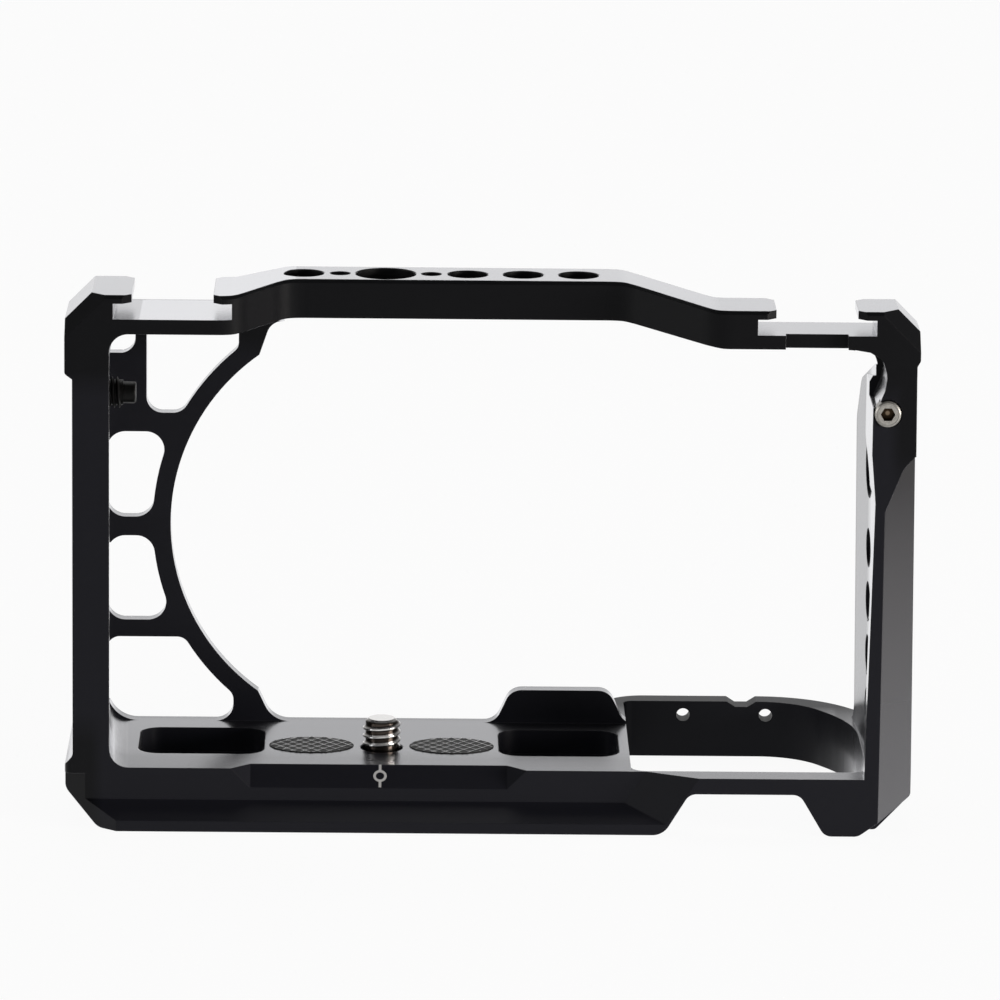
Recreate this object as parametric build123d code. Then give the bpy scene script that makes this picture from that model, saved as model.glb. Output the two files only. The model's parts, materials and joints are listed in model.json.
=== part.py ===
from build123d import *
import os
from math import atan2, cos, hypot, pi, radians, sin, sqrt, tan

# A camera cage: one milled aluminium frame that wraps a small camera, with a
# screw up through its base, two screws that lock the strap lugs, and two
# rubber pads. Millimetres. X runs along the camera's back to the right, Y
# from its back towards the lens, Z up. The origin is on the camera screw's
# axis, in the face that the camera sits on.
#
# The frame is a single milled piece. It is built whole, and then parted on
# flat planes into its members, so that each member is a simple shape.

# ---- base ------------------------------------------------------------------
lens_r = 34.4             # the lens opening sets the left side and the heights
lens_z = lens_r - 1.5     # height of the lens axis over the seat
right_x = 83.8            # outer right face of the shoe, which sets the right side
base_thick = 9.3
left_x = -lens_r - 15.8   # outer left face of the base
plate_right_x = 39.7      # where the plate ends and the battery opening starts
rear_y = -18.4            # rearmost face: rim, rail, foot and right side
ledge_y = -14.2           # rear face above the ledge, and of the left side
front_y = 19.0            # front face of the plate, the web and the right side
base_corner_r = 3.0
rim_corner_r = 5.0
corner_drop = 4.0         # the bottom left edge is cut away below this
corner_run = 5.3
mitre_x = left_x + 3.3    # where the slanting cut of the rear left corner starts
mitre_lean = (-1, -1.2, 0)
wall_drop = 5.1           # height of the upright face above the ledge
rim_height = 1.7
ledge_end_low = plate_right_x - 1.1    # the ledge's end slants: at its foot,
ledge_end_high = plate_right_x + 2.4   # at its top,
ledge_end_rear = plate_right_x + 10.6  # and at the rearmost face
finger_low_left = -20.8   # a shallow finger bevel in the top rear edge
finger_low_right = 20.0
finger_depth = 3.1

# ---- rear rail and foot ------------------------------------------------------
rail_thick = 2.55
opening_rear_y = -13.8    # rear edge of the battery opening
opening_corner_r = 2.5
rail_start_low = plate_right_x + 5.0
rail_start_high = plate_right_x + 9.1
foot_left_high = right_x - 17.5
foot_left_low = right_x - 13.5
foot_right_low = right_x - 8.2
foot_right_rise = 6.0

# ---- pockets, pads and their seats -------------------------------------------
pocket_inner_x = 18.8     # the pockets start this far from the screw, on either side
pocket_y = 3.4
pocket_left_wide = 20.2
pocket_wall = 1.6         # metal left between the right pocket and the battery opening
pocket_long = 16.8
pocket_deep = 4.0
pocket_r = 3.5
pad_x = 11.25
pad_y = 0.9
pad_wide = 13.4
pad_long = 9.8
pad_thick = 1.1
pad_seat_deep = 0.8
pad_gap = 0.05

# ---- front stop --------------------------------------------------------------
stop_high = 5.5
stop_left = 18.4
stop_right = plate_right_x - 0.3
stop_slope = 2.5
stop_flare_r = 2.8
stop_corner_r = 2.8

# ---- lens side web -----------------------------------------------------------
web_thick = 2.6
ring_wide = 2.9           # width of the ring arm round the lens
ring_end_turn = 54.1      # the arm's curve spans this angle up and down, then flares out
ring_end_run = 1.9
ring_flare_r = 2.6
ring_foot_run = 2.4       # and at its foot it flares out wider, onto the plate
ring_foot_r = 4.3
web_foot = 7.0            # the web stands on the plate up to here, from the curve's end
web_top = lens_z + lens_r + 1.9
web_rail = 2.9            # height of the rail along the web's top
ring_end_high = lens_z + lens_r * sin(radians(ring_end_turn))
ring_end_low = lens_z - lens_r * sin(radians(ring_end_turn))
ring_end_x = -lens_r * cos(radians(ring_end_turn))
bridge_right = ring_end_x + 4.0   # the short arm from the web's top to the bar
bridge_left = bridge_right - 7.8
window_r = 3.0
upright_x = -lens_r - 4.8      # slim upright beside the strap window
upright_wide = 1.8
window_side_high = 4.5    # the lowest window's side is this high, up to the ring arm
window_foot_r = 2.8       # its lower corners, at the ring arm's foot
window_wall_r = 5.0       # and at the wall's foot
rib_top = lens_z + 18.2   # the ribs lie between the windows
rib_mid_high = lens_z + 1.0
rib_mid_low = lens_z - 16.1
rib_thick = 3.1
strap_window_low = web_top - 8.3

# ---- left side ----------------------------------------------------------------
left_wall_x = left_x + 1.3
left_wall = 5.8           # thickness at its rear edge
left_lean = 1.3           # its inner face leans out by this much towards the front
left_flare_low = 0.3
left_flare_high = 1.9
left_flare_r = 1.4
left_post_deep = 12.0     # depth of the post behind the side windows
side_window_r = 2.4
side_window_inset = 2.2   # the side windows are this much lower at both ends
side_sill = 3.0
inner_fillet = 3.0

# ---- top ----------------------------------------------------------------------
left_under = web_top + 0.8
left_top = left_under + 6.15
bar_under = left_under + 1.55
bar_top = bar_under + 6.15
right_under = left_under - 0.7
right_top = right_under + 6.0
left_shoe_front = 2.2
bar_rear = -7.5
bar_front = 3.6
right_shoe_front = -7.2
shoe_wide = 18.6          # standard accessory foot, with running room
left_shoe_x = left_x + shoe_wide / 2 + 7.7
right_shoe_x = right_x - shoe_wide / 2 - 6.95
left_slope_x = left_shoe_x + shoe_wide / 2 + 0.3    # the bar's left slope runs from here
left_slope_end = left_slope_x + 8.2
right_slope_end = right_shoe_x - shoe_wide / 2 - 6.45
right_slope_x = right_slope_end - 14.2
bend_r = 8.0
left_block_x = left_x + 0.1
block_skirt_left = left_under - 6.4    # lower edge of each top block
block_skirt_right = right_under - 1.7
block_bevel = 4.2
right_bevel = 3.5
block_facet = 2.6
block_skirt_drop = 0.9
right_wall_x = right_x - 0.5   # the outer face at its top, and at the base
right_foot_x = right_x + 0.2
right_corner_r = 5.2      # under the shoe, where it turns down into the wall
top_edge = 0.5            # bevel on the top's rear edges

# ---- cold shoes ------------------------------------------------------------------
shoe_gap = 12.8           # between the lips
shoe_high = 2.5
lip_thick = 1.3
lip_r = 1.4
floor_notch_wide = 9.8
floor_notch_deep = 1.5

# ---- holes in the bar and the right side -------------------------------------------
quarter_r = 3.175         # 1/4 inch thread, at its major diameter
three_eighths_r = 4.7625  # 3/8 inch thread, at its major diameter
hole_pitch = 8.75
pin_hole_r = 1.55
pin_pitch = 14.4
anchor_step = 12.95       # from the 3/8 hole to the next 1/4 hole
bar_holes_x = 0.1         # place of the 3/8 hole in the bar
mouth_bevel = 0.15
side_holes_z = 7.2        # lowest 1/4 hole in the right side
side_holes_y = 0.3
side_hole_count = 4

# ---- right side and grip loop ---------------------------------------------------------
inner_rear_x = right_x - 6.0   # the inner face leans in towards the front,
inner_front_x = right_x - 7.6
inner_foot_x = right_x - 6.8   # and out towards its foot
inner_lip = 0.6           # its rear edge stands this much proud of it,
inner_lip_foot = 1.4      # and this much at its foot
inner_lip_long = 3.0
side_shoulder_z = right_under - 4.3    # the top edge slopes down from the shoe,
side_slope_end_y = 12.5
side_slope_end_z = side_shoulder_z - 6.4
side_front_z = side_shoulder_z - 14.0  # and rounds into the front edge
side_shoulder_r = 6.0
side_toe_r = 4.0
loop_inner_y = 31.7
loop_wall = 3.8
loop_leg = 3.6
loop_bend_x = right_x - 21.8   # the loop's wide front right bend starts here
loop_bend_y = 8.0
loop_inner_x = right_x - 6.6   # the loop's inner face at the side
loop_outer_x = right_x - 0.4
loop_low_x = right_x - 5.2     # its bottom edge is bevelled from here
loop_low_rise = 5.7
loop_corner_r = 3.0
loop_left_r = 7.0
loop_left_inner_r = 1.5
loop_hole_r = 1.1
loop_hole_pitch = 13.6
loop_hole_x = right_x - 27.4   # middle of the two small holes
loop_hole_drop = 2.3
notch_x = right_x - 24.6
notch_wide = 4.8
notch_flat = 2.0
notch_deep = 0.9
facet_x = right_x - 5.1   # the long bevel down the outer rear corner
facet_lean = 0.62         # its run along Y for each unit along X
facet_top = side_shoulder_z - 12.7
facet_crest = 2.9         # its round top, measured from its inner edge
facet_crest_drop = 1.8
facet_runout = 9.0
boss_x = right_x - 7.3    # the thicker part that the cap screw threads into
boss_low = side_shoulder_z - 20.4
boss_slope_low = 8.0      # it dies out over this height at its lower end,
boss_slope_high = 2.8     # and over this one at its top
boss_front_y = -1.0
scoop_front_y = -8.0      # a scoop under the shoe, beside the strap lug
scoop_corners = ((-10.3, 4.3), (-7.9, 3.9), (-5.9, 2.7, 2), (-5.15, 0.2, 3), (-5.5, -2.2, 2),
                 (-6.6, -4.9), (-10.3, -5.2))  # from right_x and side_shoulder_z

# ---- strap lug screws --------------------------------------------------------------------
cap_screw_x = right_x - 5.0
cap_screw_z = side_shoulder_z - 5.8
cap_screw_r = 1.25
cap_head_r = 2.05
cap_head_high = 2.5
cap_shank = 12.0
cap_socket = 2.0
cap_seat_deep = 1.9
cap_head_gap = 0.2
cap_shank_gap = 0.6
thread_gap = 0.05
seat_gap = 0.05
grub_y = 4.0
grub_z = rib_top + 5.9
grub_r = 2.5
grub_long = 6.6
grub_out = 1.5            # how far it stands inside the left wall's rear edge
grub_socket = 2.5
grub_socket_deep = 2.4
tip_r = 1.75
tip_long = 2.0
tip_spigot_r = 1.0
tip_spigot_long = 1.6

# ---- camera screw ----------------------------------------------------------------------
screw_up = 4.9            # how far it stands over the seat
screw_end_bevel = 0.75
screw_clear = 0.2         # the hole is this much wider than the screw, all round
roof_thick = 2.0          # metal left over the head's bore
head_r = 6.2
head_high = 1.9
head_gap = 0.3
head_slot_wide = 1.6
head_slot_deep = 1.1
washer_r = 5.2
washer_thick = 0.5
neck_r = 2.5
neck_high = 2.3
ring_wire = 0.8           # the snap ring that holds the head in its bore
ring_groove = 0.9
ring_up = 0.7
ring_bite = 0.7
ring_open = 40.0
tripod_x = 14.6
tripod_deep = 6.4

# ---- values that follow from the ones above -----------------------------------------------
web_y = front_y - web_thick
outer_y = loop_inner_y + loop_wall
left_inner_x = left_wall_x + left_wall
ring_r = lens_r + ring_wide
window_right = -sqrt(ring_r**2 - (lens_z - window_side_high)**2)
left_web_x = left_inner_x - left_lean * (web_y - ledge_y) / (front_y - ledge_y)
head_bore_r = head_r + head_gap
grub_tip_x = left_inner_x + grub_out
big = 200.0


def outline(*corners):
    """A closed outline. A corner is (a, b), or (a, b, radius) where it is round."""
    points = [corner[:2] for corner in corners]
    radii = [corner[2] if len(corner) > 2 else 0 for corner in corners]
    return make_face(FilletPolyline(*points, radius=radii, close=True))


def along_x(sketch, x_low, x_high):
    """An outline in Y and Z, run along X."""
    return extrude(Plane.YZ.offset(x_low) * sketch, amount=x_high - x_low)


def along_y(sketch, y_rear, y_front):
    """An outline in X and Z, run along Y."""
    plane = Plane(origin=(0, y_rear, 0), x_dir=(1, 0, 0), z_dir=(0, -1, 0))
    return extrude(plane * sketch, amount=y_rear - y_front)


def along_z(sketch, z_low, z_high):
    """An outline in X and Y, run along Z."""
    return extrude(Plane.XY.offset(z_low) * sketch, amount=z_high - z_low)


def block(x_low, x_high, y_low, y_high, z_low, z_high):
    """A plain block between two opposite corners."""
    size = (x_high - x_low, y_high - y_low, z_high - z_low)
    middle = ((x_low + x_high) / 2, (y_low + y_high) / 2, (z_low + z_high) / 2)
    return Pos(*middle) * Box(*size)


def disc(x, z, radius):
    """A round outline, placed in its plane."""
    return Pos(x, z) * Circle(radius)


def hole_down(x, y, z_top, depth, radius):
    """A round cutter from z_top down, with a bevelled mouth."""
    shaft = Pos(x, y, z_top - depth / 2) * Cylinder(radius, depth)
    mouth = Pos(x, y, z_top - mouth_bevel / 2) * Cone(radius, radius + mouth_bevel, mouth_bevel)
    return shaft + mouth


# ---- the frame's members -----------------------------------------------------------------


def base():
    """The plate, with the rail and the foot along its rear edge."""
    left_corner = [(left_x, 0), (left_x, -corner_drop, 2), (left_x + corner_run, -base_thick, 2)]
    plate = along_y(outline(*left_corner, (plate_right_x, -base_thick), (plate_right_x, 0)),
                    opening_rear_y, front_y)
    band = along_y(outline(*left_corner,
                           (rail_start_low, -base_thick, 3), (rail_start_high, -rail_thick, 2),
                           (foot_left_high, -rail_thick, 2), (foot_left_low, -base_thick, 2),
                           (foot_right_low, -base_thick, 2), (right_foot_x, foot_right_rise - base_thick, 1),
                           (right_foot_x, 0)), rear_y, opening_rear_y)
    plan = along_z(outline((left_x, front_y, base_corner_r), (left_x, rear_y, rim_corner_r),
                           (right_foot_x, rear_y), (right_foot_x, front_y)), -base_thick, 0)
    body = (plate + band) & plan
    mitre = Plane(origin=(mitre_x, ledge_y, -wall_drop), z_dir=mitre_lean)
    return body.split(mitre, keep=Keep.BOTTOM)


def ledge_cut():
    """What is cut away above the ledge: a slope out to the rim, with a slanting end."""
    slope = (base_thick - rim_height - wall_drop) / (ledge_y - rear_y)
    past = 2.0
    side = outline((ledge_y + base_corner_r, 1), (ledge_y + base_corner_r, -wall_drop),
                   (ledge_y, -wall_drop), (rear_y - past, -wall_drop - slope * (ledge_y - rear_y + past)),
                   (rear_y - past, 1))
    kept = along_z(outline((left_x, ledge_y, base_corner_r), (big, ledge_y), (big, front_y),
                           (left_x, front_y)), -base_thick, 2)
    cut = along_x(side, left_x - 2, ledge_end_rear + 8) - kept
    high = Vector(ledge_end_high, ledge_y, 0)
    across = Vector(ledge_end_rear, rear_y, 0) - high
    down = Vector(ledge_end_low, ledge_y, -wall_drop) - high
    return cut.split(Plane(origin=high, z_dir=across.cross(down)), keep=Keep.BOTTOM)


def finger_cut():
    """A shallow bevel for a fingertip in the plate's top rear edge, mitred at both ends."""
    wedge = along_x(outline((ledge_y - 1, 1), (ledge_y + finger_depth + 1, 1),
                            (ledge_y - 1, -finger_depth - 1)),
                    finger_low_left - finger_depth - 2, finger_low_right + finger_depth + 2)
    left = Vector(finger_low_left - finger_depth, ledge_y, 0)
    right = Vector(finger_low_right + finger_depth, ledge_y, 0)
    wedge = wedge.split(Plane(origin=left, z_dir=(1, -1, 1)), keep=Keep.TOP)
    return wedge.split(Plane(origin=right, z_dir=(-1, -1, 1)), keep=Keep.TOP)


def front_stop():
    """The low tab that the camera's front edge rests against."""
    shape = outline((stop_left - 4, -1), (stop_left - 4, 0), (stop_left, 0, stop_flare_r),
                    (stop_left + stop_slope, stop_high, stop_corner_r),
                    (stop_right - stop_slope, stop_high, stop_corner_r), (stop_right, 0, stop_flare_r),
                    (stop_right + 4, 0), (stop_right + 4, -1))
    return along_y(shape, web_y, front_y) & block(0, plate_right_x, web_y, front_y, -1, stop_high)


def left_side():
    """The left wall, flared onto the base, before its windows are cut. Its inner face leans."""
    room_x = left_inner_x + 5
    outside = outline((left_x, -1), (left_x, left_flare_low, 0.4),
                      (left_wall_x, left_flare_high, left_flare_r),
                      (left_wall_x, left_under + 1), (room_x, left_under + 1), (room_x, -1))
    inside = outline((left_x, -1), (left_x, left_under + 1), (left_inner_x, left_under + 1),
                     (left_inner_x, 0, inner_fillet), (room_x + left_lean, 0), (room_x + left_lean, -1))
    side_view = outline((ledge_y, -1), (ledge_y, left_under + 1), (left_shoe_front, left_under + 1),
                        (left_shoe_front, web_top, 1.5), (front_y, web_top, 2), (front_y, -1))
    corner = outline((left_x, ledge_y, 1.2), (left_x, front_y, base_corner_r), (0, front_y), (0, ledge_y))
    rear = Plane(origin=(0, ledge_y, 0), x_dir=(1, 0, 0), z_dir=(0, -1, 0))
    way = Vector(-left_lean, front_y - ledge_y, 0)
    leaning = extrude(rear * inside, amount=way.length, dir=way.normalized())
    return (along_y(outside, ledge_y, front_y) & leaning & along_x(side_view, left_x, 0)
            & along_z(corner, -1, big))


def web():
    """The sheet on the lens side: a ring arm round the lens, ribs and a top rail."""
    sheet = outline((left_wall_x, -1), (left_wall_x, web_top), (bridge_right, web_top),
                    (bridge_right, web_top - web_rail),
                    (ring_end_x + ring_end_run, web_top - web_rail, ring_flare_r),
                    (ring_end_x, ring_end_high), (ring_end_x, ring_end_low),
                    (ring_end_x + ring_foot_run, 0, ring_foot_r), (ring_end_x + web_foot, 0),
                    (ring_end_x + web_foot, -1))
    sheet -= disc(0, lens_z, lens_r)
    return along_y(sheet, web_y, front_y)


def web_windows():
    """The cutters for the web's windows, each kept clear of the ring arm."""
    ring = disc(0, lens_z, ring_r)
    wall_edge = left_web_x - 0.4
    corner_r = min(window_r, 0.45 * (-ring_r - wall_edge))
    low_top = rib_mid_low - rib_thick + 0.3
    lowest = outline((wall_edge, 0, window_wall_r), (window_right, 0, window_foot_r),
                     (window_right, low_top), (wall_edge, low_top)) - ring
    sharp = [point for point in lowest.vertices()
             if point.Y > window_side_high - 0.1 and (point.X > wall_edge + 0.1 or point.Y > low_top - 0.1)]
    cutters = [fillet(sharp, 0.7 * corner_r)]
    for z_low, z_high in ((rib_mid_low, rib_mid_high - rib_thick), (rib_mid_high, rib_top - rib_thick)):
        shape = outline((wall_edge, z_low), (window_right, z_low), (window_right, z_high),
                        (wall_edge, z_high)) - ring
        cutters.append(fillet(shape.vertices(), corner_r))
    top = web_top - web_rail
    strap_edge = left_web_x - 0.7
    strap = outline((strap_edge, strap_window_low, 2.4),
                    (upright_x - upright_wide / 2, strap_window_low, 2.4),
                    (upright_x - upright_wide / 2, top, 1), (strap_edge, top))
    corner = outline((upright_x + upright_wide / 2, rib_top), (window_right + 0.7, rib_top),
                     (window_right + 0.7, top), (upright_x + upright_wide / 2, top)) - ring
    corner = fillet(corner.vertices().sort_by(Axis.Y)[:2], 2.6)
    corner = fillet(corner.vertices().sort_by(Axis.Y)[-3:], 1.8)
    return [along_y(shape, web_y - 1, front_y + 1) for shape in (*cutters, strap, corner)]


def side_windows():
    """The cutters for the left wall's windows, which open round its front corner."""
    rear = ledge_y + left_post_deep
    inset = side_window_inset
    heights = [(side_sill, rib_mid_low - rib_thick - 1.4),
               (rib_mid_low + inset, rib_mid_high - rib_thick - 1.2),
               (rib_mid_high + inset, rib_top - rib_thick - 2.0)]
    spans = [(rear, z_low, z_high) for z_low, z_high in heights]
    spans.append((rear + 4.5, strap_window_low, web_top - web_rail))
    cutters = []
    for y, z_low, z_high in spans:
        shape = outline((y, z_low, side_window_r), (front_y + 1, z_low), (front_y + 1, z_high),
                        (y, z_high, side_window_r))
        cutters.append(along_x(shape, left_x - 1, left_inner_x + 1))
    return cutters


def front_bridge():
    """The short arm that carries the web's top end on the bar."""
    shape = outline((bar_front - 1, bar_top - 1.6), (bar_front - 1, bar_under), (bar_front, bar_under),
                    (web_y, web_top - web_rail), (front_y, web_top - web_rail), (front_y, web_top),
                    (web_y - 1, web_top + 2.0, 2))
    return along_x(shape, bridge_left, bridge_right)


def top():
    """Both shoes and the bar between them: the rear view crossed with the plan."""
    rear_view = outline((left_block_x, left_top - block_bevel), (left_block_x + block_bevel, left_top),
                        (left_slope_x, left_top, bend_r), (left_slope_end, bar_top, bend_r),
                        (right_slope_x, bar_top, bend_r), (right_slope_end, right_top, bend_r),
                        (right_x - right_bevel, right_top), (right_x, right_top - right_bevel),
                        (right_x, block_skirt_right, 0.4),
                        (right_wall_x, block_skirt_right - block_skirt_drop),
                        (right_wall_x, side_shoulder_z), (inner_rear_x, side_shoulder_z),
                        (inner_rear_x, right_under), (right_slope_end + 1, right_under, bend_r),
                        (right_slope_x, bar_under, bend_r), (left_slope_end, bar_under, bend_r),
                        (left_slope_x, left_under, bend_r), (left_inner_x, left_under, inner_fillet),
                        (left_inner_x, left_under - inner_fillet - 0.5),
                        (left_wall_x, left_under - inner_fillet - 0.5),
                        (left_wall_x, block_skirt_left - block_skirt_drop),
                        (left_block_x, block_skirt_left, 0.7))
    plan = outline((left_block_x, ledge_y), (left_slope_x, ledge_y, bend_r),
                   (left_slope_end, bar_rear, bend_r), (right_slope_x, bar_rear, bend_r),
                   (right_slope_end, rear_y, bend_r), (right_x, rear_y),
                   (right_x, right_shoe_front), (right_slope_end, right_shoe_front, bend_r),
                   (right_slope_x - 0.5, bar_front, bend_r), (left_slope_end, bar_front, bend_r),
                   (left_slope_x, left_shoe_front, bend_r), (left_block_x, left_shoe_front))
    body = along_y(rear_view, rear_y, bar_front) & along_z(plan, block_skirt_left - 3, bar_top)
    corner = outline((inner_rear_x, right_under - right_corner_r), (inner_rear_x, right_under),
                     (inner_rear_x - right_corner_r, right_under))
    corner -= disc(inner_rear_x - right_corner_r, right_under - right_corner_r, right_corner_r)
    body += along_y(corner, rear_y, right_shoe_front)
    return chamfer(top_rear_edges(body), top_edge)


def top_rear_edges(body):
    """The edges that run along the top's rear, from the left shoe over the bar to the right one."""
    rear_faces = [face for face in body.faces() if face.normal_at().Y < -0.6]
    crest = [face for face in body.faces() if face.normal_at().Z > 0.8]
    crest_edges = {hash(edge): edge for face in crest for edge in face.edges()}
    return [edge for face in rear_faces for edge in face.edges() if hash(edge) in crest_edges]


def shoe_cut(x, z_top, y_rear, y_front):
    """The T-shaped slot of a cold shoe, open at both ends."""
    under_lip = z_top - lip_thick
    slot = block(x - shoe_wide / 2, x + shoe_wide / 2, y_rear - 1, y_front + 1,
                 under_lip - shoe_high, under_lip)
    gap = outline((x - shoe_gap / 2, y_rear), (x - shoe_gap / 2, y_front),
                  (x + shoe_gap / 2, y_front), (x + shoe_gap / 2, y_rear))
    flare = []
    for side in (-1, 1):
        for y, step in ((y_rear, 1), (y_front, -1)):
            corner = outline((x + side * shoe_gap / 2, y), (x + side * (shoe_gap / 2 + lip_r), y),
                             (x + side * shoe_gap / 2, y + step * lip_r))
            flare.append(along_z(corner, under_lip - 0.1, z_top + 3))
    return [slot, along_z(gap, under_lip - 0.1, z_top + 3), *flare]


def block_facets():
    """Two slanting cuts where each top block's bevel meets its rear face."""
    left_low = Vector(left_block_x, ledge_y, left_top - block_bevel - 2.6)
    left_rise = Vector(1, 0, 1)
    right_low = Vector(right_x, rear_y, right_top - block_bevel - 2.2)
    right_rise = Vector(-1, 0, 1)
    lean = Vector(0, block_facet, block_facet)
    cutters = []
    for low, rise, side in ((left_low, left_rise, -1), (right_low, right_rise, 1)):
        plane = Plane(origin=low, z_dir=rise.cross(lean) * -side)
        room = block(low.X - 9, low.X + 9, low.Y - 1, low.Y + 7, low.Z - 4, low.Z + 12)
        cutters.append(room.split(plane, keep=Keep.TOP))
    return cutters


def bar_hole_cuts():
    """The 3/8 hole with its two pin holes, and four 1/4 holes along the bar."""
    y = (bar_rear + bar_front) / 2
    deep = bar_top - bar_under + 2
    step = bar_holes_x + anchor_step
    cutters = [hole_down(bar_holes_x, y, bar_top, deep, three_eighths_r)]
    for x in (bar_holes_x - anchor_step, step, step + hole_pitch, step + 2 * hole_pitch):
        cutters.append(hole_down(x, y, bar_top, deep, quarter_r))
    for side in (-1, 1):
        cutters.append(hole_down(bar_holes_x + side * pin_pitch / 2, y, bar_top, deep, pin_hole_r))
    return cutters


def ring_plan():
    """Plan of the battery opening's rim: the rail, the side and the grip loop."""
    left = plate_right_x - loop_leg
    outer = outline((left, rear_y), (left, outer_y, loop_left_r), *bend(loop_outer_x, outer_y),
                    (right_foot_x, ledge_y), (right_foot_x, rear_y))
    inner = outline((plate_right_x, opening_rear_y, opening_corner_r),
                    (plate_right_x, loop_inner_y, loop_left_inner_r), *bend(loop_inner_x, loop_inner_y),
                    (loop_inner_x, opening_rear_y, loop_corner_r))
    return outer, inner


def bend(x, y):
    """Two round corners that turn the loop's front at y into its side at x, like an oval's quarter."""
    wide, deep = x - loop_bend_x, y - loop_bend_y
    share = sqrt(2) - 1
    turn = atan2(deep, wide)
    front_r = wide * share / tan(turn / 2)
    side_r = hypot(wide, deep) * (1 - sqrt(0.5)) / tan((pi / 2 - turn) / 2)
    return (loop_bend_x + wide * share, y, front_r), (x, loop_bend_y + deep * share, side_r)


def grip_ring():
    """The rim of the battery opening, in front of the rail."""
    outer, inner = ring_plan()
    ring = along_z(outer - inner, -base_thick, 0)
    rear_view = outline((plate_right_x - loop_leg, -base_thick), (loop_low_x, -base_thick, 1),
                        (right_foot_x, loop_low_rise - base_thick, 1), (right_foot_x, 0),
                        (plate_right_x - loop_leg, 0))
    return ring & along_y(rear_view, opening_rear_y, outer_y)


def right_side():
    """The right wall: its side view crossed with the plan, and planed to a lean inside."""
    side_view = outline((rear_y, -1), (rear_y, side_shoulder_z), (right_shoe_front, side_shoulder_z, 3),
                        (side_slope_end_y, side_slope_end_z, side_shoulder_r), (front_y, side_front_z, 3),
                        (front_y, 0, side_toe_r), (front_y + side_toe_r, 0), (front_y + side_toe_r, -1))
    rear_view = outline((loop_bend_x, -1), (right_foot_x, -1), (right_foot_x, 0),
                        (right_wall_x, side_shoulder_z), (loop_bend_x, side_shoulder_z))
    outer, _ = ring_plan()
    wall = along_z(outer, -1, side_shoulder_z) & along_x(side_view, loop_bend_x, right_foot_x)
    wall = wall & along_y(rear_view, rear_y, outer_y)
    rear_top = Vector(inner_rear_x, ledge_y, side_shoulder_z)
    front_top = Vector(inner_front_x, front_y, side_shoulder_z)
    foot = Vector(inner_foot_x, front_y, 0)
    inner_face = Plane(origin=front_top, z_dir=(rear_top - front_top).cross(foot - front_top))
    keep = Keep.TOP if inner_face.z_dir.X > 0 else Keep.BOTTOM
    return wall.split(inner_face, keep=keep)


def inner_rear_lip():
    """The thicker rear edge of the right wall's inner face, which dies out towards the front."""
    seat_x = inner_rear_x + 2
    rear_view = outline((inner_rear_x - inner_lip_foot, 0), (inner_rear_x - inner_lip, boss_low + 1),
                        (seat_x, boss_low + 1), (seat_x, 0))
    plan = outline((inner_rear_x - inner_lip_foot, rear_y),
                   (inner_rear_x - inner_lip_foot, rear_y + inner_lip_long),
                   (inner_rear_x, rear_y + 2 * inner_lip_long), (seat_x, rear_y + 2 * inner_lip_long),
                   (seat_x, rear_y))
    return along_y(rear_view, rear_y, ledge_y + inner_lip_long) & along_z(plan, 0, boss_low + 1)


def screw_boss():
    """The thicker top rear part of the right wall, which the cap screw threads into."""
    seat_x = inner_rear_x + 2
    rear_view = outline((boss_x, boss_low + boss_slope_low), (inner_rear_x - inner_lip, boss_low),
                        (seat_x, boss_low), (seat_x, side_shoulder_z),
                        (inner_rear_x + 0.3, side_shoulder_z), (boss_x, side_shoulder_z - boss_slope_high))
    side_view = outline((rear_y, boss_low), (boss_front_y, boss_low), (boss_front_y, side_shoulder_z - 3),
                        (rear_y, side_shoulder_z))
    return along_y(rear_view, rear_y, boss_front_y) & along_x(side_view, boss_x, right_x)


def right_cuts():
    """Threaded holes, the scoop, the cap screw's seat and the long bevel."""
    cutters = []
    length = right_foot_x - inner_front_x + 4
    middle = (right_foot_x + inner_front_x) / 2
    across = Rotation(0, 90, 0)
    for index in range(side_hole_count):
        z = side_holes_z + index * hole_pitch
        cutters.append(Pos(middle, side_holes_y, z) * across * Cylinder(quarter_r, length))
    z = side_holes_z + (side_hole_count - 1) * hole_pitch + anchor_step
    cutters.append(Pos(middle, side_holes_y, z) * across * Cylinder(three_eighths_r, length))
    cutters.append(long_bevel())
    scoop = Pos(right_x, side_shoulder_z) * outline(*scoop_corners)
    cutters.append(along_y(scoop, rear_y - 1, scoop_front_y))
    bore_low = rear_y + cap_seat_deep
    turned = Rotation(90, 0, 0)
    cutters.append(Pos(cap_screw_x, bore_low - 2, cap_screw_z)
                   * turned * Cylinder(cap_head_r + cap_head_gap, 4))
    shank = cap_shank + cap_shank_gap
    cutters.append(Pos(cap_screw_x, bore_low + shank / 2, cap_screw_z)
                   * turned * Cylinder(cap_screw_r + thread_gap, shank))
    return cutters


def long_bevel():
    """The bevel down the outer rear corner, which runs out under the cap screw."""
    past = right_foot_x + 1
    plan = outline((facet_x, rear_y - 1), (facet_x, rear_y), (past, rear_y + facet_lean * (past - facet_x)),
                   (past, rear_y - 1))
    rear_view = outline((facet_x - 1, -base_thick - 1), (past, -base_thick - 1), (past, facet_top),
                        (right_wall_x, facet_top), (facet_x + facet_crest, facet_top - facet_crest_drop, 3),
                        (facet_x, facet_top - facet_runout), (facet_x - 1, facet_top - facet_runout))
    return along_z(plan, -base_thick - 1, facet_top) & along_y(rear_view, rear_y - 1, front_y)


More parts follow.
